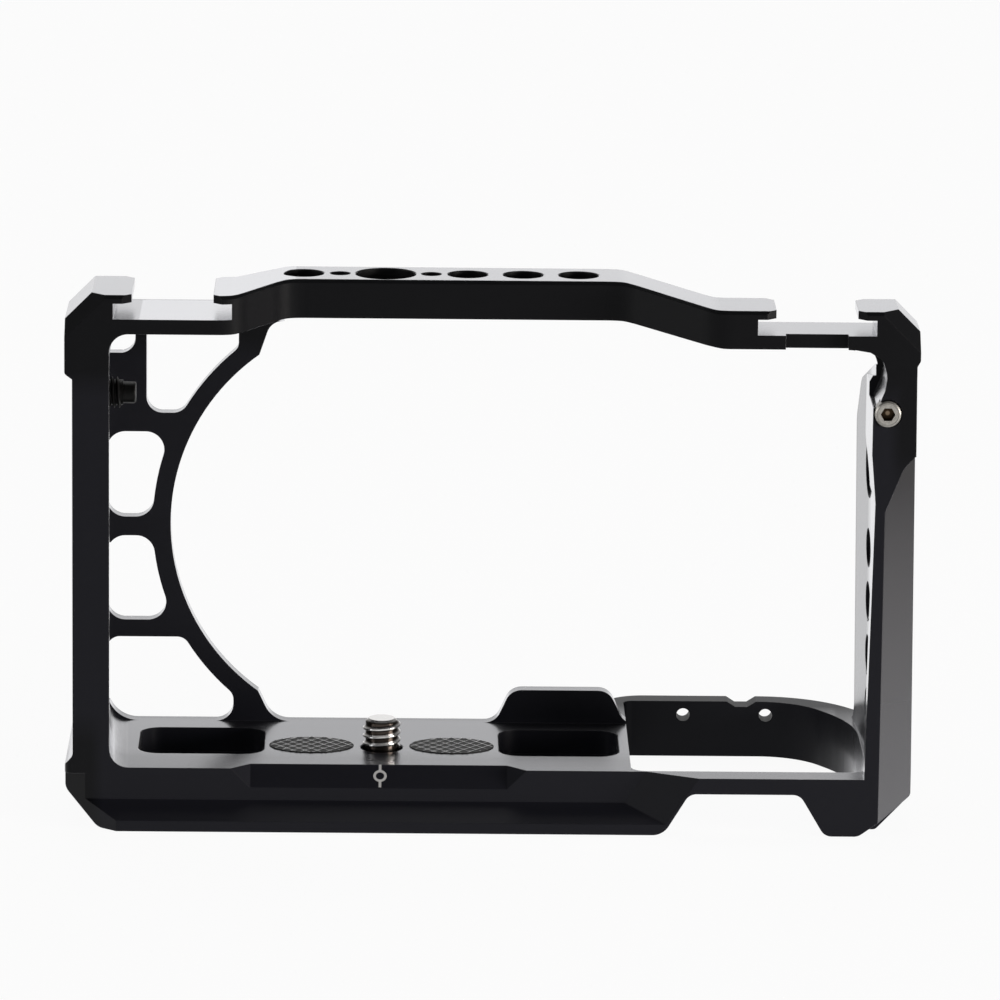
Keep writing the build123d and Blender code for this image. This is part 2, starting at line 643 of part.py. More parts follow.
def loop_cuts():
    """The two small holes in the grip loop, and the notch in its top edge."""
    cutters = []
    for side in (-1, 1):
        hole = disc(loop_hole_x + side * loop_hole_pitch / 2, -loop_hole_drop, loop_hole_r)
        cutters.append(along_y(hole, loop_inner_y - 6, outer_y + 1))
    notch = outline((notch_x - notch_wide / 2 - 1, 1), (notch_x - notch_wide / 2, 0),
                    (notch_x - notch_flat / 2, -notch_deep), (notch_x + notch_flat / 2, -notch_deep),
                    (notch_x + notch_wide / 2, 0), (notch_x + notch_wide / 2 + 1, 1))
    cutters.append(along_y(notch, loop_inner_y - 6, outer_y + 1))
    return cutters


def plate_cuts():
    """Pockets, pad seats, the camera screw's bore and the tripod holes."""
    cutters = []
    for left, right in ((-pocket_inner_x - pocket_left_wide, -pocket_inner_x),
                        (pocket_inner_x, plate_right_x - pocket_wall)):
        pocket = Pos((left + right) / 2, pocket_y) * RectangleRounded(right - left, pocket_long, pocket_r)
        cutters.append(along_z(pocket, -pocket_deep, 1))
    for side in (-1, 1):
        seat = Pos(side * pad_x, pad_y) * Ellipse(pad_wide / 2 + pad_gap, pad_long / 2 + pad_gap)
        cutters.append(along_z(seat, -pad_seat_deep, 1))
        tripod = Pos(side * tripod_x, 0, -base_thick + tripod_deep / 2) * Cylinder(quarter_r, tripod_deep)
        cutters.append(tripod)
    cutters.append(hole_down(0, 0, 0, base_thick, quarter_r + screw_clear))
    bore_high = base_thick - roof_thick
    cutters.append(Pos(0, 0, -base_thick + bore_high / 2) * Cylinder(head_bore_r, bore_high))
    cutters.append(Pos(0, 0, -base_thick + ring_up + ring_groove / 2)
                   * Cylinder(head_bore_r + ring_bite, ring_groove))
    return cutters


def grub_cut():
    """The threaded hole through the left wall for the grub screw."""
    length = left_wall + 4
    middle = (left_wall_x + left_inner_x) / 2
    return Pos(middle, grub_y, grub_z) * Rotation(0, 90, 0) * Cylinder(grub_r + thread_gap, length)


def frame():
    """The whole milled frame, in one piece."""
    body = (base() + grip_ring()) - ledge_cut() - finger_cut()
    body += front_stop()
    body += left_side()
    body += web()
    for cutter in (*web_windows(), *side_windows()):
        body -= cutter
    body += top()
    body += front_bridge()
    body += right_side() + inner_rear_lip() + screw_boss()
    cutters = plate_cuts() + bar_hole_cuts() + right_cuts() + loop_cuts() + [grub_cut()] + block_facets()
    cutters += shoe_cut(left_shoe_x, left_top, ledge_y, left_shoe_front)
    cutters += shoe_cut(right_shoe_x, right_top, rear_y, right_shoe_front)
    floor_z = right_top - lip_thick - shoe_high
    cutters.append(block(right_shoe_x - floor_notch_wide / 2, right_shoe_x + floor_notch_wide / 2,
                         rear_y - 1, rear_y + floor_notch_deep, right_under - 1, floor_z + 0.1))
    for cutter in cutters:
        body -= cutter
    return body


def members(body):
    """The frame parted into its members, each cut off in turn by a region of space."""
    far = big
    shoe_z = left_under - inner_fillet - 1
    regions = [
        ("grip_loop", block(plate_right_x - loop_leg - 1, far, front_y, far, -far, far)),
        ("rear_rail", block(plate_right_x, foot_left_high, -far, 0, -far, side_sill)),
        ("base_plate", block(-far, plate_right_x, -far, front_y, -far, side_sill)
         + block(0, plate_right_x, web_y - 1, far, 0, stop_high + 1)),
        ("right_cold_shoe", block(right_slope_end + 2, far, -far, far, side_shoulder_z, far)),
        ("right_side", block(foot_left_high, far, -far, far, -far, side_shoulder_z)),
        ("front_bridge", block(bridge_left - 1, bridge_right + 1, bar_front, web_y,
                               web_top - web_rail - 1, far)),
        ("lens_web", block(-far, 0, web_y, far, 0, far)),
        ("left_cold_shoe", block(-far, left_slope_x, -far, left_shoe_front, shoe_z, far)),
        ("left_side", block(-far, left_inner_x + inner_fillet + 2, -far, far, 0, far)),
    ]
    pieces = {}
    for name, region in regions:
        pieces[name] = body & region
        body = body - region
    pieces["top_bar"] = body
    return pieces


# ---- screws, pads and small pieces ----------------------------------------------------------


def hexagon_cut(across_flats, depth):
    """A hexagon socket, standing on the XY plane."""
    return extrude(RegularPolygon(across_flats / 2, 6, major_radius=False), amount=depth)


def camera_screw():
    """A slotted 1/4 inch screw with a slim neck under its thread."""
    head_top = -roof_thick - washer_thick - 2 * seat_gap
    thread_low = head_top + neck_high
    shaft = Pos(0, 0, (thread_low + screw_up) / 2) * Cylinder(quarter_r, screw_up - thread_low)
    shaft = chamfer(shaft.edges().sort_by(Axis.Z)[-1], screw_end_bevel)
    neck = Pos(0, 0, (head_top - 0.5 + thread_low) / 2) * Cylinder(neck_r, neck_high + 0.5)
    head = Pos(0, 0, head_top - head_high / 2) * Cylinder(head_r, head_high)
    head = chamfer(head.edges().filter_by(GeomType.CIRCLE), 0.3)
    slot = block(-head_r - 1, head_r + 1, -head_slot_wide / 2, head_slot_wide / 2,
                 head_top - head_high - 1, head_top - head_high + head_slot_deep)
    return head - slot + neck + shaft


def camera_screw_washer():
    """A thin washer between the head and the roof of its bore."""
    top_z = -roof_thick - seat_gap
    disc_solid = Pos(0, 0, top_z - washer_thick / 2) * Cylinder(washer_r, washer_thick)
    return disc_solid - Pos(0, 0, top_z) * Cylinder(neck_r + thread_gap, washer_thick * 3)


def snap_ring():
    """An open ring, sprung into the groove under the head."""
    outer = head_bore_r + ring_bite - pad_gap
    inner = head_bore_r - 1.0
    z_low = -base_thick + ring_up + (ring_groove - ring_wire) / 2
    ring = along_z(Circle(outer) - Circle(inner), z_low, z_low + ring_wire)
    half = radians(ring_open / 2)
    reach = outer * 2
    gap = outline((0, 0), (reach * cos(half), -reach * sin(half)), (reach * cos(half), reach * sin(half)))
    return ring - along_z(gap, z_low - 1, z_low + 2)


def anti_slip_pad(side):
    """An oval rubber pad, a little proud of the plate."""
    shape = Pos(side * pad_x, pad_y) * Ellipse(pad_wide / 2, pad_long / 2)
    pad = along_z(shape, -pad_seat_deep, pad_thick - pad_seat_deep)
    return chamfer(pad.edges().sort_by(Axis.Z)[-1], 0.2)


def strap_lug_screw():
    """The socket cap screw that locks the right strap lug. Its axis runs along Y."""
    head = Cylinder(cap_head_r, cap_head_high, align=(Align.CENTER, Align.CENTER, Align.MIN))
    head = chamfer(head.edges().sort_by(Axis.Z)[-1], 0.25)
    head -= Pos(0, 0, cap_head_high - 1.3) * hexagon_cut(cap_socket, 2)
    shank = Cylinder(cap_screw_r, cap_shank, align=(Align.CENTER, Align.CENTER, Align.MAX))
    screw = head + shank
    seat = rear_y + cap_seat_deep - seat_gap
    return Pos(cap_screw_x, seat, cap_screw_z) * Rotation(90, 0, 0) * screw


def grub_screw():
    """The headless screw through the left wall. Its axis runs along X."""
    body = Cylinder(grub_r, grub_long, align=(Align.CENTER, Align.CENTER, Align.MAX))
    body = chamfer(body.edges().filter_by(GeomType.CIRCLE), 0.3)
    body -= Pos(0, 0, -grub_long - 1) * hexagon_cut(grub_socket, grub_socket_deep + 1)
    bore = tip_spigot_long + 0.2
    body -= Pos(0, 0, -bore / 2) * Cylinder(tip_spigot_r + thread_gap, bore)
    return Pos(grub_tip_x, grub_y, grub_z) * Rotation(0, 90, 0) * body


def grub_tip():
    """The soft tip that presses on the left strap lug."""
    tip = Cylinder(tip_r, tip_long, align=(Align.CENTER, Align.CENTER, Align.MIN))
    tip = chamfer(tip.edges().sort_by(Axis.Z)[-1], 0.2)
    spigot = Cylinder(tip_spigot_r, tip_spigot_long, align=(Align.CENTER, Align.CENTER, Align.MAX))
    return Pos(grub_tip_x + seat_gap, grub_y, grub_z) * Rotation(0, 90, 0) * (tip + spigot)


def all_nodes():
    """Every node of the cage by name."""
    nodes = members(frame())
    nodes["camera_screw"] = camera_screw()
    nodes["camera_screw_washer"] = camera_screw_washer()
    nodes["camera_screw_snap_ring"] = snap_ring()
    nodes["left_anti_slip_pad"] = anti_slip_pad(-1)
    nodes["right_anti_slip_pad"] = anti_slip_pad(1)
    nodes["right_lug_screw"] = strap_lug_screw()
    nodes["left_lug_screw"] = grub_screw()
    nodes["left_lug_screw_tip"] = grub_tip()
    return nodes


os.makedirs("parts", exist_ok=True)
for node_name, shape in all_nodes().items():
    export_step(shape, f"parts/{node_name}.step")
    print(node_name, len(shape.solids()), round(shape.volume, 1))
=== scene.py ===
"""A milled black camera cage with its screws and grip pads, on a white stage."""
import json
from math import hypot, pi, radians, sin, sqrt

import bmesh
import bpy
from mathutils import Matrix, Vector


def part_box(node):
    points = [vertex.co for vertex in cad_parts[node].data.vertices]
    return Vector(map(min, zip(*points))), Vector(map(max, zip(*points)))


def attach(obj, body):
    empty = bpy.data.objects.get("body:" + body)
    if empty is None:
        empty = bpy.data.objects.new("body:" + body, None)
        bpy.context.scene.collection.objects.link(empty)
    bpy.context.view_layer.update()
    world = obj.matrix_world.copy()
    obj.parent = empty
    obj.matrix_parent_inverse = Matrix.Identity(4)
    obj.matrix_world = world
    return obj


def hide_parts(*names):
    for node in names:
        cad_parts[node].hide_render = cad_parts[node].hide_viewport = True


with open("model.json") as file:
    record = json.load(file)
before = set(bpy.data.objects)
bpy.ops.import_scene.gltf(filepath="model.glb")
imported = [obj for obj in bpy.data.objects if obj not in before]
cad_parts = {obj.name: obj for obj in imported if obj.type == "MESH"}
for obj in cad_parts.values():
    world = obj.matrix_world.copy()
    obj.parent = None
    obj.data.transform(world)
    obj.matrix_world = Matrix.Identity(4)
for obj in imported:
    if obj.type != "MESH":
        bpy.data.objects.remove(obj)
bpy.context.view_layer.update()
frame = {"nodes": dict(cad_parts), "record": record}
scene = bpy.context.scene
mm = 0.001

FRAME_NODES = ("base_plate", "rear_rail", "grip_loop", "right_side", "right_cold_shoe", "top_bar",
               "left_cold_shoe", "left_side", "lens_web", "front_bridge")
MOUNTS = {mount["name"]: mount for mount in frame["record"]["mounts"]}
JOINTS = {joint["name"]: joint for joint in frame["record"]["behaviour"]["joints"]}
X, Y, Z = range(3)
LOWEST, HIGHEST = range(2)

# threads, as the wall's radius and the pitch in mm
QUARTER_INCH = (3.175, 1.27)
THREE_EIGHTHS = (4.7625, 1.5875)
GRUB_PITCH = 0.8


def node_end(node, end, axis):
    """How far a CAD node reaches along an axis, in mm."""
    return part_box(node)[end][axis] / mm


def in_mm(place):
    """The middle of a mount or the axis point of a joint, in mm."""
    return Vector(place["pos_m"]) / mm


# ---- camera ---------------------------------------------------------------------

def add_camera():
    """A long lens behind the cage, a little above it."""
    spot = Vector((0.0024, -1.1223, 0.2907))
    heading, down, roll = -0.825, 12.552, 0.651
    view = bpy.data.cameras.new("camera")
    view.lens = 259.85
    view.sensor_width = 36
    view.clip_end = 50
    eye = bpy.data.objects.new("camera", view)
    turn = (Matrix.Rotation(radians(heading), 4, "Z") @ Matrix.Rotation(radians(90 - down), 4, "X")
            @ Matrix.Rotation(radians(roll), 4, "Z"))
    eye.matrix_world = Matrix.Translation(spot) @ turn
    scene.collection.objects.link(eye)
    scene.camera = eye


# ---- shader helpers ---------------------------------------------------------------

class Wire:
    """One output socket. Sums and products on it become Math nodes."""

    def __init__(self, paint, socket):
        self.paint = paint
        self.socket = socket

    def sum_with(self, operation, first, second):
        return self.paint.node("ShaderNodeMath", {"operation": operation}, {0: first, 1: second})

    def __add__(self, other):
        return self.sum_with("ADD", self, other)

    def __radd__(self, other):
        return self.sum_with("ADD", other, self)

    def __sub__(self, other):
        return self.sum_with("SUBTRACT", self, other)

    def __rsub__(self, other):
        return self.sum_with("SUBTRACT", other, self)

    def __mul__(self, other):
        return self.sum_with("MULTIPLY", self, other)

    def __rmul__(self, other):
        return self.sum_with("MULTIPLY", other, self)

    def __pow__(self, other):
        return self.sum_with("POWER", self, other)

    def __abs__(self):
        return self.sum_with("ABSOLUTE", self, 0)

    def at_least(self, other):
        return self.sum_with("MAXIMUM", self, other)

    def at_most(self, other):
        return self.sum_with("MINIMUM", self, other)

    def clamped(self):
        return self.paint.node("ShaderNodeClamp", {}, {"Value": self})

    def rise(self, start, end):
        """0 at start and before it, 1 at end and past it. It falls where end is the lower one."""
        return ((self - start) * (1 / (end - start))).clamped()


class Paint:
    """The nodes of a material or a world under construction."""

    def __init__(self, owner):
        owner.use_nodes = True
        self.owner = owner
        self.tree = owner.node_tree
        self.tree.nodes.clear()

    def node(self, kind, settings, sockets, out=0):
        """Makes one node, sets it up, joins its sockets and returns one of its outputs."""
        node = self.tree.nodes.new(kind)
        for name, value in settings.items():
            setattr(node, name, value)
        for name, value in sockets.items():
            if isinstance(value, Wire):
                self.tree.links.new(value.socket, node.inputs[name])
            else:
                node.inputs[name].default_value = value
        return Wire(self, node.outputs[out])

    def apart(self, vector):
        """A vector's three parts, one wire each."""
        parts = self.node("ShaderNodeSeparateXYZ", {}, {"Vector": vector})
        return [Wire(self, socket) for socket in parts.socket.node.outputs]

    def place(self):
        return self.node("ShaderNodeTexCoord", {}, {}, "Object")

    def place_in_mm(self):
        grown = self.node("ShaderNodeVectorMath", {"operation": "SCALE"},
                          {0: self.place(), "Scale": 1000})
        return self.apart(grown)

    def noise(self, scale, detail):
        return self.node("ShaderNodeTexNoise", {},
                         {"Vector": self.place(), "Scale": scale, "Detail": detail}, "Fac")

    def bump(self, strength, height, **normal):
        """A bumped normal with a relief of 0.02 mm."""
        return self.node("ShaderNodeBump", {}, {"Strength": strength, "Distance": 0.02 * mm,
                                                "Height": height, **normal})

    def mixed(self, factor, first, second):
        """A colour between two others."""
        return self.node("ShaderNodeMix", {"data_type": "RGBA"}, {0: factor, 6: first, 7: second}, 2)

    def principled(self, sockets):
        return self.node("ShaderNodeBsdfPrincipled", {}, sockets, "BSDF")

    def facing(self, normal):
        """0 where the surface is seen square on, 1 where it is seen edge on."""
        return self.node("ShaderNodeLayerWeight", {}, {"Blend": 0.5, "Normal": normal}, "Facing")

    def two_shaders(self, factor, first, second):
        return self.node("ShaderNodeMixShader", {}, {0: factor, 1: first, 2: second})

    def finished(self, shader, end="ShaderNodeOutputMaterial"):
        """Joins the shader to the output and returns the material or world."""
        self.tree.links.new(shader.socket, self.tree.nodes.new(end).inputs["Surface"])
        return self.owner


def new_paint(name):
    return Paint(bpy.data.materials.new(name))


def grey(level):
    return (level, level, level, 1)


# ---- materials ----------------------------------------------------------------------

def off_the_joins(paint):
    """Falls to 0 on the flat planes where the milled frame is parted into its members."""
    x, y, z = paint.place_in_mm()
    half_band = 0.4
    # a coordinate, the parting plane's place on it, and what is above 0 beyond the plane's end
    joins = ((x, node_end("base_plate", HIGHEST, X), y + 13.0),
             (x, node_end("rear_rail", HIGHEST, X), z - 3.5),
             (x, node_end("top_bar", HIGHEST, X), 64.5 - z),
             (x, node_end("left_cold_shoe", HIGHEST, X), 65.5 - z),
             (z, node_end("left_side", LOWEST, Z), x - 38.0),
             (z, node_end("right_side", HIGHEST, Z), 58.0 - x),
             (z, node_end("left_cold_shoe", LOWEST, Z), x + 40.0),
             (y, node_end("grip_loop", LOWEST, Y), 34.0 - x),
             (y, node_end("front_bridge", LOWEST, Y), abs(x + 20.0) - 5.0))
    kept = None
    for along, spot, beyond in joins:
        here = (abs(along - spot) - half_band).at_least(beyond).rise(0, 0.05)
        kept = here if kept is None else kept.at_most(here)
    return kept


def sheen_under_painted_shade(paint):
    """How much of the low-angle sheen is left under painted shade on the loop, the right wall, the
    plate and in holes.
    """
    x, y, z = paint.place_in_mm()
    # Painted shade: the sheen is taken off by place on the loop's front, the right wall and the plate.
    loop = y.rise(17, 28.765) * 0.95
    wall = x.rise(74, 74.5) * y.rise(-3, 2) * 0.42
    on_the_plate = z.rise(1, 0.75)
    plate = x.rise(76, 75.75) * on_the_plate * (0.08 + y.rise(-2, -7.2) * 0.13)
    # Painted shade: a dark reflection of the camera screw, painted on the plate in front of it.
    painted_screw_reflection = abs(x).rise(3.125, 0) * y.rise(-3, -4.667) * y.rise(-9.4, -7.4) * on_the_plate
    middle = in_mm(MOUNTS["grip_loop_holes"])
    half_pitch = MOUNTS["grip_loop_holes"]["dims"]["spacing_x_mm"] / 2
    aside, above = abs(x - middle.x) - half_pitch, z - middle.z
    # Painted shade inside the grip loop's two holes.
    hole = (aside * aside + above * above).rise(1.7, 1.45) * y.rise(25, 25.2)
    return (1 - loop) * (1 - wall) * (1 - hole) * (1 - plate) * (1 - painted_screw_reflection)


def turned_right(paint, normal):
    """1 on faces that look to the right and the rear, 0 on the others."""
    right, ahead, _ = paint.apart(normal)
    return right.rise(0.3, 0.55) * ahead.rise(-0.15, -0.4)


def body_colour(paint, edge):
    """Black, paler along its edges, darker as painted shade on the top, the right post and the left
    wall's foot.
    """
    face, second_face = (0.0072, 0.0074, 0.0106, 1), (0.0054, 0.0056, 0.0084, 1)
    # The edge colour shows along the edges, where the bevel bends the normal.
    paler_edge, painted_shade_black = (0.028, 0.029, 0.033, 1), (0.0012, 0.0013, 0.0018, 1)
    x, _, z = paint.place_in_mm()
    cloud = (paint.noise(70, 2) * 0.6).clamped()
    clouded = paint.mixed(cloud, paint.mixed(edge, face, paler_edge), second_face)
    # Painted shade: the top, the left wall's foot and the right post are darkened.
    left_foot = z.rise(9, 4) * x.rise(-44, -46)
    right_post = x.rise(79, 81) * z.rise(46, 52.667)
    dark = z.rise(60, 64).at_least(left_foot).at_least(right_post) * 0.88
    return paint.mixed(dark, clouded, painted_shade_black)


def anodised():
    """Bead-blasted aluminium, anodised black: dark face on, bright at a low angle, with painted sheen
    and painted shade set by place.
    """
    paint = new_paint("black_anodised")
    x, _, z = paint.place_in_mm()
    grain = paint.noise(5200, 3)
    flat = paint.node("ShaderNodeNewGeometry", {}, {}, "Normal")
    bevel = paint.node("ShaderNodeBevel", {"samples": 6}, {"Radius": 0.22 * mm})
    rounded = paint.node("ShaderNodeMix", {"data_type": "VECTOR"},
                         {0: off_the_joins(paint), 4: flat, 5: bevel}, 1)
    along = paint.node("ShaderNodeVectorMath", {"operation": "DOT_PRODUCT"}, {0: rounded, 1: flat},
                       "Value")
    edge = along.rise(1, 0.75)
    bumped = paint.bump(0.08, grain, Normal=rounded)
    aslant = turned_right(paint, flat)
    corner_bevel = aslant * x.rise(77, 78)
    # Painted sheen: more low-angle sheen on the bar's left slope.
    painted_slope_sheen = x.rise(-38.5, -36.833) * x.rise(-14, -15.667) * z.rise(64, 66)
    body = paint.principled({
        "Base Color": body_colour(paint, edge),
        "Roughness": 0.38 + grain * 0.12 + aslant * x.rise(0, -10) * 0.4,
        "Specular IOR Level": 0.13, "Normal": bumped})
    sheen = paint.principled({
        "Base Color": (0.69, 0.692, 0.72, 1), "Metallic": 1.0, "Roughness": 0.19 + grain * 0.06,
        "Normal": bumped})
    low_angle = (paint.facing(rounded) ** 6 * 2.8 * (1 + painted_slope_sheen * 2.2)).clamped()
    # Painted sheen on the right corner bevel, strongest low down and fading out upwards.
    painted_bevel_sheen = corner_bevel * (0.122 - z * 0.0026).at_least(0)
    # The sheen is cut back by painted shade and added on the corner bevel as painted sheen.
    gloss = low_angle * sheen_under_painted_shade(paint) + painted_bevel_sheen
    return paint.finished(paint.two_shaders(gloss, body, sheen))


def steel_of_camera_screw():
    """Bright crests, flanks and end over roots darkened as painted shade, round the Z axis."""
    paint = new_paint("camera_screw_steel")
    # The root colour is painted shade in the thread's roots.
    root, crest = (0.055, 0.045, 0.038, 1), (0.74, 0.73, 0.72, 1)
    root_radius, end_z = 2.66, 4.5
    grain = paint.noise(2600, 3)
    x, y, z = paint.place_in_mm()
    reach = (x * x + y * y) ** 0.5
    bright = reach.rise(root_radius, root_radius + 0.2).at_least(z.rise(end_z, end_z + 0.167))
    return paint.finished(paint.principled({
        "Base Color": paint.mixed(bright, root, crest), "Metallic": 1.0,
        "Roughness": 0.2 + grain * 0.1, "Normal": paint.bump(0.1, grain)}))


def steel_of_cap_screw():
    """A turned head with a bright rim and a socket painted dark as painted shade, round an axis along
    Y.
    """
    paint = new_paint("cap_screw_steel")
    dull, bright, in_groove = (0.24, 0.23, 0.21, 1), (0.58, 0.56, 0.52, 1), (0.05, 0.047, 0.045, 1)
    # Painted shade: the socket's walls are dark, its floor a paler brown.
    socket_wall, socket_floor = (0.035, 0.022, 0.012, 1), (0.3, 0.22, 0.15, 1)
    axis = in_mm(JOINTS["right_lug_screw_turn"])
    groove_radius, socket_radius, floor_radius = 1.68, 1.3, 0.42
    head_rear = node_end("right_lug_screw", LOWEST, Y)
    grain = paint.noise(3400, 4)
    x, y, z = paint.place_in_mm()
    aside, above = x - axis.x, z - axis.z
    reach = (aside * aside + above * above) ** 0.5
    groove = abs(reach - groove_radius).rise(0.0714, 0) * 0.75
    in_socket = (y.rise(head_rear + 0.08, head_rear + 0.1633)
                 * reach.rise(socket_radius, socket_radius - 0.0833))
    head = paint.mixed(groove, paint.mixed(grain, dull, bright), in_groove)
    socket = paint.mixed(reach.rise(floor_radius, floor_radius - 0.1667), socket_wall, socket_floor)
    return paint.finished(paint.principled({
        "Base Color": paint.mixed(in_socket, head, socket), "Metallic": 0.9,
        "Roughness": 0.3 + grain * 0.14, "Normal": paint.bump(0.22, grain)}))


def black_steel():
    """Oiled black oxide on steel."""
    paint = new_paint("black_steel")
    grain = paint.noise(3000, 3)
    return paint.finished(paint.principled({
        "Base Color": paint.mixed(grain, grey(0.002), grey(0.004)), "Metallic": 0.0,
        "Roughness": 0.34 + grain * 0.16, "Specular IOR Level": 0.1}))


def rubber():
    """Black moulded rubber. Only the crests of its ridges catch light."""
    paint = new_paint("pad_rubber")
    grain = paint.noise(7000, 3)
    _, _, z = paint.place_in_mm()
    bumped = paint.bump(0.2, grain)
    body = paint.principled({
        "Base Color": paint.mixed(grain, grey(0.004), grey(0.009)),
        "Roughness": 0.5 + grain * 0.1, "Specular IOR Level": 0.12, "Normal": bumped})
    sheen = paint.principled({
        "Base Color": grey(0.8), "Metallic": 1.0, "Roughness": 0.3, "Normal": bumped})
    gloss = (paint.facing(bumped) ** 4 * 2.6).clamped() * z.rise(0.15, 0.175)
    return paint.finished(paint.two_shaders(gloss, body, sheen))


def nylon():
    """The grub screw's smooth black tip."""
    paint = new_paint("soft_tip")
    grain = paint.noise(1500, 2)
    return paint.finished(paint.principled({
        "Base Color": paint.mixed(grain, grey(0.002), grey(0.004)),
        "Roughness": 0.34 + grain * 0.08, "Specular IOR Level": 0.12}))


def etched():
    """The pale laser-etched index mark."""
    paint = new_paint("etched_mark")
    grain = paint.noise(6000, 3)
    return paint.finished(paint.principled({
        "Base Color": paint.mixed(grain, grey(0.3), grey(0.48)), "Roughness": 0.6 + grain * 0.2}))


# ---- making pieces ---------------------------------------------------------------------

def finish_piece(name, shape, material, body="frame"):
    """Turns a bmesh into an object with flat faces that rides on a body."""
    bmesh.ops.recalc_face_normals(shape, faces=shape.faces)
    mesh = bpy.data.meshes.new(name)
    shape.to_mesh(mesh)
    shape.free()
    mesh.shade_flat()
    mesh.materials.append(material)
    piece = bpy.data.objects.new(name, mesh)
    scene.collection.objects.link(piece)
    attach(piece, body)
    return piece


def node_copy(node):
    """A CAD node's shape as one joined skin."""
    shape = bmesh.new()
    shape.from_mesh(frame["nodes"][node].data)
    bmesh.ops.remove_doubles(shape, verts=shape.verts, dist=0.0005 * mm)
    return shape


def wind(shape, profile, pitch, low, high, steps=40):
    """Winds a closed profile up the Z axis from low to high, and closes its ends."""
    corners = [shape.verts.new((radius * mm, 0, (low + rise) * mm)) for radius, rise in profile]
    edges = [shape.edges.new(pair) for pair in zip(corners, corners[1:] + corners[:1])]
    turns = (high - low) / pitch
    count = max(4, int(turns * steps))
    made = bmesh.ops.spin(shape, geom=corners + edges, cent=(0, 0, 0), axis=(0, 0, 1),
                          dvec=(0, 0, (high - low) * mm / count), angle=2 * pi * turns, steps=count)
    last = [item for item in made["geom_last"] if isinstance(item, bmesh.types.BMEdge)]
    bmesh.ops.contextual_create(shape, geom=edges)
    bmesh.ops.contextual_create(shape, geom=last)


def camera_screw(material):
    """The steel screw with its real thread, its end bevelled."""
    root, crest, half_base, half_crest = 2.58, 3.02, 0.58, 0.1
    inside_root = root - 0.18
    thread_low, thread_high = 0.1, 4.25
    shaft_low, middle_radius = -0.6, 1.0
    end_rim, end_share = 4.8, 0.87
    end_radius, end_slope = 2.1, 1.1
    top = node_end("camera_screw", HIGHEST, Z)
    shape = node_copy("camera_screw")
    for vert in shape.verts:
        reach = hypot(vert.co.x, vert.co.y)
        if vert.co.z > shaft_low * mm and reach > middle_radius * mm:
            share = root * mm / reach * (end_share if vert.co.z > end_rim * mm else 1)
            vert.co.x *= share
            vert.co.y *= share
    profile = [(inside_root, -half_base), (crest, -half_crest), (crest, half_crest),
               (inside_root, half_base)]
    wind(shape, profile, QUARTER_INCH[1], thread_low, thread_high, 64)
    for vert in shape.verts:
        reach = hypot(vert.co.x, vert.co.y)
        limit = end_radius * mm + (top * mm - vert.co.z) * end_slope
        if reach > limit and vert.co.z > 0:
            vert.co.x *= limit / reach
            vert.co.y *= limit / reach
    piece = finish_piece("camera_screw_threaded", shape, material, "camera_screw")
    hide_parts("camera_screw")


def grub_screw(material):
    """The black grub screw with its real thread. Its axis runs along X."""
    root, crest, half_base, half_crest = 2.05, 2.48, 0.36, 0.06
    inside_root, socket_radius = root - 0.1, 1.9
    thread_low, thread_high = -6.1, -0.45
    inner_end = in_mm(JOINTS["left_lug_screw_turn"]) * mm
    shape = node_copy("left_lug_screw")
    for vert in shape.verts:
        out = vert.co - inner_end
        reach = hypot(out.y, out.z)
        if reach > socket_radius * mm:
            vert.co.y = inner_end.y + out.y * root * mm / reach
            vert.co.z = inner_end.z + out.z * root * mm / reach
    thread = bmesh.new()
    profile = [(inside_root, -half_base), (crest, -half_crest), (crest, half_crest),
               (inside_root, half_base)]
    wind(thread, profile, GRUB_PITCH, thread_low, thread_high)
    place = Matrix.Translation(inner_end) @ Matrix.Rotation(radians(90), 4, "Y")
    bmesh.ops.transform(thread, matrix=place, verts=thread.verts)
    wound = bpy.data.meshes.new("thread")
    thread.to_mesh(wound)
    thread.free()
    shape.from_mesh(wound)
    bpy.data.meshes.remove(wound)
    piece = finish_piece("left_lug_screw_threaded", shape, material, "grub_screw")
    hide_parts("left_lug_screw")


def pad(side, node, material):
    """An oval pad with low flat ridges that cross in diamonds."""
    half_wide, half_long, foot, skirt_top = 6.7, 4.9, -0.78, -0.1
    cell_wide, cell_long = 1.97, 2.55
    valley, ridge_high = 0.12, 0.08
    middle_x, middle_y = 11.25, 0.9
    shape = bmesh.new()
    bmesh.ops.create_grid(shape, x_segments=134, y_segments=98, size=1)
    for vert in shape.verts:
        x, y = vert.co.x, vert.co.y
        vert.co.x = half_wide * mm * x * sqrt(1 - y * y / 2)
        vert.co.y = half_long * mm * y * sqrt(1 - x * x / 2)
    rim = [edge for edge in shape.edges if edge.is_boundary]
    skirt = bmesh.ops.extrude_edge_only(shape, edges=rim)["geom"]
    low = [item for item in skirt if isinstance(item, bmesh.types.BMVert)]
    for vert in low:
        vert.co.z = foot * mm
    bmesh.ops.contextual_create(shape, geom=[item for item in skirt
                                             if isinstance(item, bmesh.types.BMEdge)
                                             and all(end in low for end in item.verts)])
    for vert in shape.verts:
        if vert.co.z > skirt_top * mm:
            across, along = vert.co.x / (cell_wide * mm), vert.co.y / (cell_long * mm)
            off_a_ridge = min(abs(sin(pi * (across + along))), abs(sin(pi * (across - along))))
            vert.co.z = (valley + ridge_high * min(1, max(0, 1.15 - off_a_ridge * 3))) * mm
    bmesh.ops.translate(shape, vec=(side * middle_x * mm, middle_y * mm, 0), verts=shape.verts)
    piece = finish_piece(node + "_knurled", shape, material)
    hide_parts(node)


